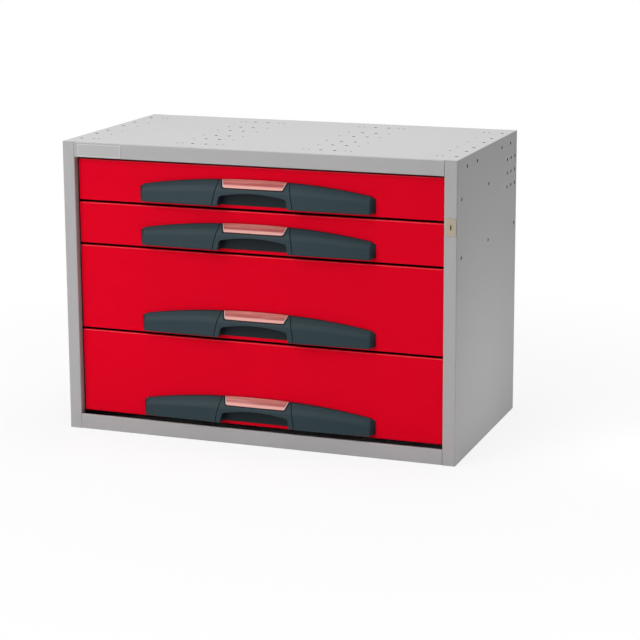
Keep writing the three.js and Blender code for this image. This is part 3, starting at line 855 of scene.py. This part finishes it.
@dataclass(frozen=True)
class HandleForm:
    """Sizes of the moulded handle, from the middle of a drawer front's lower edge."""

    half_length: float = 216 * MM
    face_half_length: float = 211 * MM
    corner_radius: float = 4 * MM
    stand: tuple[float, float] = (21.9 * MM, 12.5 * MM)
    top: tuple[float, float] = (51.5 * MM, 33.5 * MM)
    bottom: tuple[float, float] = (6.2 * MM, 4.8 * MM)
    drop: tuple[float, float] = (14 * MM, 8.5 * MM)
    arch_exponent: float = 2.2
    back: float = 0.15 * MM
    brow_reach: float = 7 * MM
    brow_share: float = 0.75
    brow_zone_shares: tuple[float, float] = (0.4, 0.22)
    crest_reach: float = 2.2 * MM
    crest_share: float = 0.23
    edge_radius: float = 1.4 * MM
    seam_half_width: tuple[float, float] = (73.5 * MM, 64 * MM)
    seam_exponent: float = 1.3
    seam_middle: float = 69.5 * MM
    seam_gap: float = 0.5 * MM
    seam_levels: tuple[float, ...] = (10 * MM, 17 * MM, 32 * MM, 35.8 * MM)
    grip_places: tuple[float, ...] = (10 * MM, 22 * MM, 34 * MM, 46 * MM, 57 * MM)
    wing_shoulder: float = 80 * MM
    wing_rings: int = 14
    corner_degrees: tuple[float, ...] = (20, 40, 60, 80, 90)
    foot_cut_share: float = 0.65
    joint_radius: float = 0.5 * MM

    def along(self, sizes: tuple[float, float], x: float, exponent: float = 2) -> float:
        """A size at X, from those at the middle and the end. A higher exponent changes it later."""
        share = min(1.0, abs(x) / self.half_length)
        return sizes[0] + (sizes[1] - sizes[0]) * share**exponent

    def section(self, x: float, stand_cut: float = 0, height_cut: float = 0) -> Section:
        """The cross-section at a place along the handle.

        Args:
            x: Distance from the middle.
            stand_cut: How much less it stands out.
            height_cut: How much is taken off the top and the bottom.

        Returns:
            The section.
        """
        top = self.along(self.top, x, self.arch_exponent) - height_cut
        return Section(
            stand=self.along(self.stand, x) - stand_cut,
            top=top,
            bottom=self.along(self.bottom, x) + height_cut,
            brow=top - self.along(self.drop, x),
        )

    def seam(self, height: float) -> float:
        """Half the length of the grip at a height.

        Args:
            height: Height above the drawer front's lower edge.

        Returns:
            The distance of the seam from the middle.
        """
        low, high = self.bottom[0], self.top[0]
        share = min(1.0, max(0.0, (height - low) / (high - low)))
        wide, narrow = self.seam_half_width
        return wide + (narrow - wide) * share**self.seam_exponent

    def face(self, height: float) -> float:
        """Where the leaning face stands at a height, at the middle of the handle.

        Args:
            height: Height above the drawer front's lower edge.

        Returns:
            Its place along Y.
        """
        middle = self.section(0)
        share = (height - middle.bottom) / (middle.brow - middle.bottom)
        return -middle.stand * (1 - (1 - self.brow_share) * share)

    def depth(self, spot: Vector) -> float:
        """How deep a place lies under the face, the crown and the top of the handle.

        Args:
            spot: The place.

        Returns:
            The distance to the nearest of the three.
        """
        section = self.section(spot.x)
        corners = (
            Vector((-section.stand, section.bottom)),
            Vector((-section.stand * self.brow_share, section.brow)),
            Vector((-section.stand * self.crest_share, section.top)),
        )
        depths = [section.top - spot.z]
        for low, high in zip(corners, corners[1:], strict=False):
            run = (high - low).normalized()
            depths.append((spot.y - low.x) * run.y - (spot.z - low.y) * run.x)
        return min(depths)

    def bar(self, name: str, start: float, end: float) -> Workpiece:
        """The first stretch of a handle piece, with its brow and edges rounded.

        Args:
            name: Name of the piece.
            start: Where it starts along X.
            end: Where it ends.

        Returns:
            The piece in edit mode.
        """
        first = self.section(start)
        low, high = (start, -first.stand, first.bottom), (end, -self.back, first.top)
        piece = Workpiece.box(name, low, high)
        crest, brow = -first.stand * self.crest_share, -first.stand * self.brow_share
        piece.cut((0, crest, 0), (0, 1, 0))
        piece.pick(
            Element.VERTICES,
            lambda place, _: place.y < crest - MM and place.z > first.top - MM,
        )
        bpy.ops.transform.translate(value=(0, first.stand + brow, first.brow - first.top))
        for y, z, width, segments in (
            (brow, first.brow, self.brow_reach, 8),
            (crest, first.top, self.crest_reach, 4),
            (-first.stand, first.bottom, self.edge_radius, 4),
        ):
            piece.bevel(
                width, segments,
                lambda place, run: lengthwise(run) and at(place.y, y) and at(place.z, z),
            )
        return piece

    def grow(self, piece: Workpiece, rings: Sequence[tuple[float, Section]]) -> None:
        """Extrude the far end of a bar from place to place, sizing each ring on the way.

        Args:
            piece: The piece in edit mode.
            rings: Place and cross-section of each ring, the one at the far end first.
        """
        here, last = rings[0]
        for place, wanted in rings[1:]:
            piece.pick(
                Element.FACES,
                lambda middle, normal: middle.x > here - EXACT and normal.x > FACING,
            )
            bpy.ops.mesh.extrude_region_move(
                TRANSFORM_OT_translate={"value": (place - here, 0, 0)},
            )
            self.fit(piece, place, last, wanted)
            here, last = place, wanted

    def fit(self, piece: Workpiece, place: float, last: Section, wanted: Section) -> None:
        """Scale a ring to the stand and height of a section, then move its brow to its height.

        Args:
            piece: The piece in edit mode.
            place: Where the ring is along X.
            last: The section that the ring has.
            wanted: The section that it gets.
        """
        piece.pick(Element.VERTICES, lambda spot, _: abs(spot.x - place) < EXACT)
        tall, last_tall = wanted.top - wanted.bottom, last.top - last.bottom
        bpy.ops.transform.resize(
            value=(1, wanted.stand / last.stand, tall / last_tall),
            center_override=(0, 0, last.bottom),
        )
        bpy.ops.transform.translate(value=(0, 0, wanted.bottom - last.bottom))
        scaled = wanted.bottom + (last.brow - last.bottom) / last_tall * tall
        front = -self.brow_zone_shares[0] * wanted.stand
        near = self.brow_zone_shares[1] * tall
        piece.pick(
            Element.VERTICES,
            lambda spot, _: abs(spot.x - place) < EXACT and spot.y < front
            and abs(spot.z - scaled) < near,
        )
        bpy.ops.transform.translate(value=(0, 0, wanted.brow - scaled))

    def curve_seam(self, piece: Workpiece, place: float, gap: float) -> None:
        """Score a piece at its levels and move its end onto the curved seam, height by height.

        Args:
            piece: The piece in edit mode.
            place: Where its flat end is along X.
            gap: Distance that is left to the seam.
        """
        for level in self.seam_levels:
            piece.cut((0, 0, level), (0, 0, 1))
        spots = [vertex.co for vertex in bmesh.from_edit_mesh(piece.body.data).verts]
        heights = {round(spot.z, 6) for spot in spots if abs(spot.x - place) < EXACT}
        for height in sorted(heights):
            piece.pick(
                Element.VERTICES,
                lambda spot, _: abs(spot.x - place) < EXACT and abs(spot.z - height) < EXACT,
            )
            bpy.ops.transform.translate(value=(self.seam(height) + gap - place, 0, 0))

    def wing(self) -> Workpiece:
        """Right wing of the handle, from the seam to its rounded, drafted end.

        Returns:
            The finished wing.
        """
        start, second = self.seam_middle, self.wing_shoulder
        piece = self.bar("wing", start, second)
        self.fit(piece, second, self.section(start), self.section(second))
        straight = self.face_half_length - self.corner_radius
        shares = [i / self.wing_rings for i in range(self.wing_rings + 1)]
        places = [second + (straight - second) * share for share in shares]
        rings = [(x, self.section(x)) for x in places]
        for degrees in self.corner_degrees:
            sweep = math.radians(degrees)
            cut = self.corner_radius * (1 - math.cos(sweep))
            x = straight + self.corner_radius * math.sin(sweep)
            rings.append((x, self.section(x, cut, cut / 2)))
        rim = self.stand[1] - self.edge_radius
        foot = self.section(self.half_length, rim, self.foot_cut_share * self.corner_radius)
        self.grow(piece, [*rings, (self.half_length, foot)])
        self.curve_seam(piece, start, self.seam_gap)
        piece.leave()
        piece.soften(self.joint_radius, segments=2)
        piece.smooth()
        return piece


@dataclass(frozen=True)
class Recess:
    """Sizes of the finger recess under the grip."""

    mouth_half_width: float = 65.5 * MM
    top_half_width: float = 61 * MM
    shoulder: float = 24 * MM
    peak: float = 29.3 * MM
    corner: float = 5 * MM
    back_wall: float = 1.75 * MM
    lip: float = 3.2 * MM
    curl: float = 3.6 * MM
    overrun: float = 2 * MM
    arch_steps: int = 16

    def cutter(self, name: str, front: float, raised: float) -> Workpiece:
        """An arched block that cuts the recess.

        Args:
            name: Name of the block.
            front: How far it reaches out along -Y.
            raised: How much higher the arch is.

        Returns:
            The block.
        """
        shoulder, rise = self.shoulder + raised, self.peak - self.shoulder
        wide, narrow = self.mouth_half_width, self.top_half_width
        block = Workpiece.box(
            name, (-wide, -front, -self.overrun), (wide, -self.back_wall, shoulder),
        )
        inner = narrow - self.corner
        stops = [inner * (2 * i / self.arch_steps - 1) for i in range(self.arch_steps + 1)]
        for x in stops:
            block.cut((x, 0, 0), (1, 0, 0))
        for x in stops[1:-1]:
            block.pick(
                Element.VERTICES,
                lambda spot, _: abs(spot.x - x) < EXACT and spot.z > shoulder - MM,
            )
            bpy.ops.transform.translate(value=(0, 0, rise * (1 - (x / inner) ** 2)))
        for side in SIDES:
            block.pick(
                Element.VERTICES,
                lambda spot, _: spot.x * side > wide - EXACT and spot.z > shoulder - MM,
            )
            bpy.ops.transform.translate(value=(side * (narrow - wide), 0, 0))
        block.bevel(
            self.corner,
            segments=5,
            test=lambda spot, run: abs(run.y) > MM and spot.z > shoulder - MM
            and at(abs(spot.x), narrow),
        )
        block.leave()
        return block


@dataclass(frozen=True)
class Window:
    """Sizes of the label window, which wraps the brow of the grip."""

    bottom: float = 35.8 * MM
    bottom_half_width: float = 55.8 * MM
    top_half_width: float = 62 * MM
    setback: float = 2.5 * MM
    thickness: float = 1.6 * MM
    proud: float = 0.4 * MM
    gap: float = 2 * MM
    back_gap: float = 0.4 * MM
    pocket_play: float = 0.4 * MM
    pocket_draft: float = 0.02 * MM
    corner: float = 3.5 * MM
    corner_steps: int = 6
    edge_radius: float = 0.45 * MM

    def half_width(self, height: float, crown: float) -> float:
        """Half the window's length at a height, where the crown is the height of the grip's top."""
        share = (height - self.bottom) / (crown - self.bottom)
        return self.bottom_half_width + (self.top_half_width - self.bottom_half_width) * share


@dataclass
class Handle:
    """The handle of a drawer: two wings, a grip with its recess, and a label window."""

    form: HandleForm = field(default_factory=HandleForm)
    recess: Recess = field(default_factory=Recess)
    window: Window = field(default_factory=Window)
    sharp_degrees: float = 40
    lip_radius: float = 0.7 * MM
    mouth_shade: float = 0.7
    foot_reach: float = 0.5 * MM
    pieces: dict[str, Workpiece] = field(default_factory=dict)

    def build(self) -> None:
        """Model each piece once."""
        right = self.form.wing()
        # Store how much shade is painted on each place of the wing.
        right.note("hollow_depth", self._painted_shade)
        left = Workpiece(right.copy("wing_left"))
        left.edit()
        bpy.ops.mesh.select_all(action="SELECT")
        bpy.ops.transform.resize(value=(-1, 1, 1), center_override=(0, 0, 0))
        left.leave()
        left.smooth()
        self.pieces = {"handle_wing_right": right, "handle_wing_left": left}
        self.pieces["handle_grip"] = self._grip()
        for name, piece in self.pieces.items():
            log.info("modelled %s with %d faces", name, len(piece.body.data.polygons))

    def _half_grip(self) -> Workpiece:
        """Right half of the grip before its window and recess are cut.

        Returns:
            The half, open at the middle and out of edit mode.
        """
        form = self.form
        first, *others = form.grip_places
        piece = form.bar("grip", 0, first)
        places = (*others, form.seam_middle)
        form.grow(piece, [(first, form.section(0)), *((x, form.section(x)) for x in places)])
        form.curve_seam(piece, form.seam_middle, -form.seam_gap)
        piece.pick(
            Element.FACES,
            lambda middle, normal: middle.x < EXACT and normal.x < -FACING,
        )
        bpy.ops.mesh.delete(type="ONLY_FACE")
        piece.leave()
        return piece

    def _grip(self) -> Workpiece:
        """The grip with the pocket for the window and the finger recess.

        Returns:
            The finished grip.
        """
        piece = self._half_grip()
        piece.apply("MIRROR", use_axis=(True, False, False), merge_threshold=EXACT)
        piece.edit()
        crown = self.form.top[0]
        window = self.window
        rise = crown - window.bottom
        run = window.top_half_width - window.bottom_half_width
        for side in SIDES:
            corner = (side * window.bottom_half_width, 0, window.bottom)
            piece.cut(corner, (side * rise, 0, -run))
        piece.cut((0, -window.setback, 0), (0, 1, 0))

        def covered(middle: Vector, normal: Vector) -> bool:
            """Whether a face lies under the window and doesn't look down."""
            inside = abs(middle.x) < window.half_width(middle.z, crown)
            above = middle.z > window.bottom and normal.z > -0.5
            return inside and above and middle.y < -window.setback

        piece.pick(Element.FACES, covered)
        bpy.ops.mesh.duplicate()
        bpy.ops.mesh.separate(type="SELECTED")
        sheet = next(o for o in bpy.context.selected_objects if o is not piece.body)
        piece.pick(Element.FACES, covered)
        bpy.ops.mesh.inset(
            thickness=window.pocket_draft, depth=-window.thickness - window.pocket_play,
        )
        piece.leave()
        self.pieces["label_window"] = self._cover(sheet)
        reach, hollow = self.form.stand[0] + MM, self._lip_back()
        for name, front, raised in (("mouth", reach, 0), ("curl", -hollow, self.recess.curl)):
            block = self.recess.cutter(name, front, raised)
            piece.apply("BOOLEAN", object=block.body, operation="DIFFERENCE", solver="EXACT")
            block.discard()
        piece.edit()
        piece.pick_sharp(
            self.sharp_degrees,
            lambda middle: (middle.y < hollow + 0.1 * MM and middle.z < window.bottom - MM)
            or (middle.y < -MM and abs(middle.x) > window.top_half_width + MM),
        )
        piece.bevel_picked(self.lip_radius, segments=3)
        piece.leave()
        piece.smooth()
        # Store how much shade is painted on each place of the grip.
        piece.note("hollow_depth", self._painted_shade)
        return piece

    def _lip_back(self) -> float:
        """Place along Y of the back of the lip over the finger recess."""
        return self.form.face(self.recess.peak) + self.recess.lip

    def _painted_shade(self, spot: Vector) -> float:
        """How much painted shade a place of the handle gets, from 0 to 1."""
        return max(self._recess_depth(spot), self._pocket_depth(spot), self._foot_depth(spot))

    def _recess_depth(self, spot: Vector) -> float:
        """How deep a place lies in the finger recess, which sets how much shade is painted there.

        Args:
            spot: The place.

        Returns:
            A share from 0 to 1.
        """
        recess = self.recess
        start = self._lip_back() + MM
        peak = recess.peak + recess.curl
        play = 0.1 * MM
        if abs(spot.x) > recess.mouth_half_width + play or spot.z > peak + play:
            return 0.0
        deep = min(max((spot.y - start) / (-recess.back_wall - start), 0), 1)
        return deep * (self.mouth_shade + (1 - self.mouth_shade) * max(spot.z, 0) / peak)

    def _pocket_depth(self, spot: Vector) -> float:
        """Whether a place lies on the floor of the window's pocket, which gets painted shade.

        Args:
            spot: The place.

        Returns:
            One on the floor of the pocket, and zero elsewhere.
        """
        window = self.window
        beside = window.half_width(spot.z, self.form.top[0]) - abs(spot.x)
        held = spot.z > window.bottom - MM and spot.y < MM - window.setback and beside > -MM
        return 1.0 if held and self.form.depth(spot) > window.thickness else 0.0

    def _foot_depth(self, spot: Vector) -> float:
        """One on the foot of the handle, against the drawer front, where contact shadow is painted,
        and zero elsewhere.
        """
        at_end = abs(spot.x) > self.form.half_length - 0.1 * MM
        return 1.0 if at_end or spot.y > -self.foot_reach else 0.0

    def _cover(self, sheet: bpy.types.Object) -> Workpiece:
        """Make the window from the faces of the grip that it covers.

        Args:
            sheet: Those faces as an object of their own.

        Returns:
            The finished window.
        """
        sheet.name = "label_window"
        cover = Workpiece(sheet)
        cover.edit()
        self._trim(cover)
        bpy.ops.mesh.select_all(action="SELECT")
        bpy.ops.transform.shrink_fatten(value=self.window.proud)
        bpy.ops.object.mode_set(mode="OBJECT")
        heights = [vertex.co.z for vertex in cover.body.data.vertices]
        low, high = min(heights), max(heights)
        cover.note("strip_height", lambda spot: (spot.z - low) / (high - low))
        cover.apply("SOLIDIFY", thickness=self.window.thickness, offset=-1)
        cover.soften(self.window.edge_radius, segments=3)
        cover.smooth(degrees=40)
        return cover

    def _trim(self, cover: Workpiece) -> None:
        """Trim the window to its outline, a gap inside its pocket, with rounded lower corners.

        Args:
            cover: The window in edit mode, while it is a sheet.
        """
        window = self.window
        rise = self.form.top[0] - window.bottom
        down = -math.pi / 2
        lean = -math.atan2(window.top_half_width - window.bottom_half_width, rise)
        below, beside = (Vector((math.cos(turn), math.sin(turn))) for turn in (down, lean))
        inward = (below + beside) / (1 + below.dot(beside))
        corner = Vector((window.bottom_half_width, window.bottom))
        centre = corner - inward * (window.gap + window.corner)
        for step in range(window.corner_steps + 1):
            turn = down + (lean - down) * step / window.corner_steps
            normal = Vector((math.cos(turn), math.sin(turn)))
            spot = centre + normal * window.corner
            for side in SIDES:
                cover.cut((side * spot.x, 0, spot.y), (side * normal.x, 0, normal.y), clear=True)
        cover.cut((0, -window.setback - window.back_gap, 0), (0, 1, 0), clear=True)


# Drawers and casing


@dataclass
class FrontPanel:
    """Pressed front of a drawer, a pan that is open at the back."""

    height: float
    half_width: float = 334.5 * MM
    depth: float = 15 * MM
    sheet: float = 1 * MM
    top_radius: float = 2 * MM
    edge_radius: float = 1.5 * MM
    rolled_share: float = 0.9

    def build(self) -> Workpiece:
        """Model the front with its face on Y = 0 and its lower edge on Z = 0.

        Returns:
            The finished front.
        """
        wide, high = self.half_width, self.height
        piece = Workpiece.box("front", (-wide, 0, 0), (wide, self.depth, high))
        piece.pick(Element.FACES, lambda _, normal: normal.y > FACING)
        bpy.ops.mesh.delete(type="FACE")
        piece.bevel(
            self.top_radius,
            segments=8,
            test=lambda spot, run: lengthwise(run) and spot.y < EXACT and spot.z > high - EXACT,
        )
        piece.bevel(
            self.edge_radius,
            segments=5,
            test=lambda spot, run: spot.y < EXACT and abs(run.y) < EXACT
            and spot.z < high - self.top_radius
            and (spot.z < EXACT or abs(spot.x) > wide - EXACT),
        )
        piece.leave()
        piece.note("rolled_edge", self._rolled)
        piece.apply("SOLIDIFY", thickness=self.sheet, offset=-1, use_even_offset=True)
        piece.smooth(degrees=40)
        return piece

    def _rolled(self, spot: Vector) -> float:
        """One on the rolled upper edge, where the paint shines most, and zero elsewhere."""
        start = self.height - self.rolled_share * self.top_radius
        return 1.0 if spot.z > start and spot.y < self.top_radius else 0.0


@dataclass
class NamePlate:
    """Bare plate on the top rail, with a raised rim."""

    low: Triple = (-330 * MM, -193.3 * MM, 495.2 * MM)
    high: Triple = (-248 * MM, -192.7 * MM, 516.2 * MM)
    corner_radius: float = 1.2 * MM
    rim: float = 0.9 * MM
    rim_slope: float = 0.15 * MM
    rim_height: float = 0.2 * MM

    def build(self) -> Workpiece:
        """Model the plate.

        Returns:
            The finished plate.
        """
        piece = Workpiece.box("name_plate_bare", self.low, self.high)
        piece.bevel(
            self.corner_radius, segments=4, test=lambda _, run: abs(run.y) > 0.1 * MM,
        )
        piece.pick(Element.FACES, lambda _, normal: normal.y < -FACING)
        bpy.ops.mesh.inset(thickness=self.rim, depth=0)
        bpy.ops.mesh.inset(thickness=self.rim_slope, depth=-self.rim_height)
        piece.leave()
        piece.smooth(degrees=30)
        return piece

    def paint_rim_highlight(self, plate: bpy.types.Object, rim: bpy.types.Material) -> None:
        """Give the raised rim a lighter finish of its own, a painted highlight along it.

        Args:
            plate: The finished plate.
            rim: The rim's lighter finish, a painted highlight.
        """
        plate.data.materials.append(rim)
        left, right = self.low[0] + self.rim, self.high[0] - self.rim
        low, high = self.low[2] + self.rim, self.high[2] - self.rim
        for face in plate.data.polygons:
            inside = left < face.center.x < right and low < face.center.z < high
            face.material_index = 0 if inside else 1


@dataclass
class Cabinet:
    """The whole cabinet module on its frame."""

    frame: dict
    finishes: dict[str, bpy.types.Material]
    front_face: float = -182 * MM
    bottoms: tuple[float, ...] = (416.5 * MM, 339.5 * MM, 186 * MM, 32.5 * MM)
    heights: tuple[float, ...] = (73 * MM, 73 * MM, 149.5 * MM, 149.5 * MM)

    def dress_nodes(self) -> None:
        """Give every solid of the part its finish."""
        for entry in self.frame["record"]["subparts"]:
            dress(self.frame["nodes"][entry["node"]], self.finishes[entry["material_slot"]])

    def place(self, piece: bpy.types.Object, body: str, node: str, slot: str) -> None:
        """Put a modelled piece in the place of a solid.

        Args:
            piece: The modelled piece.
            body: The body that it moves with.
            node: The solid that it stands for.
            slot: The slot that its finish comes from.
        """
        dress(piece, self.finishes[slot])
        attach(piece, body)
        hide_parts(node)
        log.info("placed %s", piece.name)

    def add_handles(self) -> None:
        """Put a handle on every drawer."""
        handle = Handle()
        handle.build()
        for number, bottom in enumerate(self.bottoms, start=1):
            body = f"drawer_{number}"
            for name, piece in handle.pieces.items():
                slot = "label_window" if name == "label_window" else "handle_plastic"
                made = piece.copy(f"{body}_{name}_moulded", (0, self.front_face, bottom))
                self.place(made, body, f"{body}_{name}", slot)
        for piece in handle.pieces.values():
            piece.discard()

    def add_fronts(self) -> None:
        """Put a pressed front on every drawer."""
        models = {height: FrontPanel(height).build() for height in sorted(set(self.heights))}
        edges = zip(self.bottoms, self.heights, strict=True)
        for number, (bottom, height) in enumerate(edges, start=1):
            body = f"drawer_{number}"
            made = models[height].copy(f"{body}_front_pressed", (0, self.front_face, bottom))
            self.place(made, body, f"{body}_front", "front_paint")
        for model in models.values():
            model.discard()

    def add_name_plate(self) -> None:
        """Put the bare plate on the top rail."""
        plate = NamePlate()
        made = plate.build().body
        self.place(made, "casing", "name_plate", "name_plate")
        plate.paint_rim_highlight(made, self.finishes["name_plate_rim_highlight"])


# Studio


@dataclass(frozen=True)
class SoftBox:
    """A square lamp aimed at a point."""

    name: str
    place: Triple
    aim: Triple
    size: float
    power: float

    def build(self) -> None:
        """Add the lamp."""
        data = bpy.data.lights.new(self.name, "AREA")
        data.shape = "SQUARE"
        data.size = self.size
        data.energy = self.power
        lamp = bpy.data.objects.new(self.name, data)
        direction = Vector(self.aim) - Vector(self.place)
        lamp.matrix_world = (
            Matrix.Translation(self.place)
            @ direction.to_track_quat("-Z", "Y").to_matrix().to_4x4()
        )
        bpy.context.scene.collection.objects.link(lamp)


@dataclass(frozen=True)
class PhotoCamera:
    """The camera, at the place and angle of the photograph's."""

    place: Triple = (1.2524, -3.2793, 1.0140)
    yaw: float = 20.143
    pitch: float = 11.485
    roll: float = -0.253
    focal_pixels: float = 1987.2
    frame_pixels: float = 640
    shift: tuple[float, float] = (0.0, -0.1)
    sensor: float = 36
    reach: float = 100

    def build(self) -> None:
        """Add the camera and make it the scene's."""
        yaw, pitch, roll = (math.radians(a) for a in (self.yaw, self.pitch, self.roll))
        ahead = Vector((-math.sin(yaw), math.cos(yaw), 0))
        right = Vector((math.cos(yaw), math.sin(yaw), 0))
        up = Vector((0, 0, 1))
        look = ahead * math.cos(pitch) - up * math.sin(pitch)
        above = up * math.cos(pitch) + ahead * math.sin(pitch)
        across = right * math.cos(roll) + above * math.sin(roll)
        over = above * math.cos(roll) - right * math.sin(roll)
        turned = Matrix((across, over, -look)).transposed().to_4x4()
        data = bpy.data.cameras.new("photo_camera")
        data.sensor_width = self.sensor
        data.lens = self.focal_pixels / self.frame_pixels * self.sensor
        data.shift_x, data.shift_y = self.shift
        data.clip_end = self.reach
        camera = bpy.data.objects.new("photo_camera", data)
        camera.matrix_world = Matrix.Translation(self.place) @ turned
        bpy.context.scene.collection.objects.link(camera)
        bpy.context.scene.camera = camera


@dataclass
class Studio:
    """Pale floor, plain surroundings, soft lamps and the camera."""

    floor_color: Triple = grey(0.8)
    floor_size: float = 60
    floor_drop: float = 0.2 * MM
    plain_level: float = 0.12
    near_share: float = 0.85
    near_radius: float = 0.5
    far_radius: float = 1.2
    lamps: tuple[SoftBox, ...] = (
        SoftBox("key_lamp", (-1.5, -2.7, 2.0), aim=(0, -0.19, 0.25), size=2.8, power=79),
        SoftBox("top_lamp", (0.1, 0.1, 3.0), aim=(0, 0, 0.5), size=1.6, power=61),
        SoftBox("right_lamp", (0.78, 0, 0.08), aim=(0.36, 0, 0.08), size=0.14, power=0.5),
    )

    def _seen_directly(self, shader: Shader) -> Value:
        """One on camera, glossy and transmission rays, and zero on others.

        Args:
            shader: The shader that asks.

        Returns:
            The value.
        """
        path = shader.add("ShaderNodeLightPath").outputs
        camera = Value(shader, path["Is Camera Ray"])
        glossy = Value(shader, path["Is Glossy Ray"])
        through = Value(shader, path["Is Transmission Ray"])
        return camera.most(glossy).most(through)

    def build(self) -> None:
        """Set up floor, surroundings, lamps, camera and view."""
        world = bpy.data.worlds.new("plain_surroundings")
        bpy.context.scene.world = world
        shader = Shader(world)
        seen = self._seen_directly(shader)
        level = seen * (1 - self.plain_level) + self.plain_level
        back = shader.add("ShaderNodeBackground", {}, {"Color": (1, 1, 1, 1), "Strength": level})
        shader.add("ShaderNodeOutputWorld", {}, {"Surface": back.outputs[0]})
        self._floor()
        for lamp in self.lamps:
            lamp.build()
        PhotoCamera().build()
        bpy.context.scene.view_settings.view_transform = "Standard"
        log.info("studio ready with %d lamps", len(self.lamps))

    def _floor(self) -> None:
        """Add the floor, white to the camera but for a soft shadow."""
        bpy.ops.object.select_all(action="DESELECT")
        bpy.ops.mesh.primitive_plane_add(
            size=self.floor_size, location=(0, 0, -self.floor_drop),
        )
        floor = bpy.context.active_object
        floor.name = "studio_floor"
        made = bpy.data.materials.new("studio_floor")
        shader = Shader(made)
        matt = shader.add("ShaderNodeBsdfDiffuse", {}, {"Color": (*self.floor_color, 1)})
        white = shader.add("ShaderNodeEmission", {}, {"Color": (1, 1, 1, 1), "Strength": 1.0})
        place = {0: shader.object_place()}
        away = Value(
            shader,
            shader.add("ShaderNodeVectorMath", {"operation": "LENGTH"}, place).outputs["Value"],
        )
        share = self._seen_directly(shader) * shader.ramp(
            away, (self.near_radius, self.far_radius), (self.near_share, 1),
        )
        both = {0: share, 1: matt.outputs[0], 2: white.outputs[0]}
        mixed = shader.add("ShaderNodeMixShader", {}, both)
        shader.add("ShaderNodeOutputMaterial", {}, {"Surface": mixed.outputs[0]})
        dress(floor, made)


def main() -> None:
    """Load the part, dress it, add its modelled pieces and set up the studio."""
    logging.basicConfig(level=logging.INFO, format="%(name)s: %(message)s")
    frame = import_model()
    cabinet = Cabinet(frame, {finish.name: finish.material() for finish in FINISHES})
    cabinet.dress_nodes()
    cabinet.add_fronts()
    cabinet.add_handles()
    cabinet.add_name_plate()
    Studio().build()


if __name__ == "__main__":
    main()
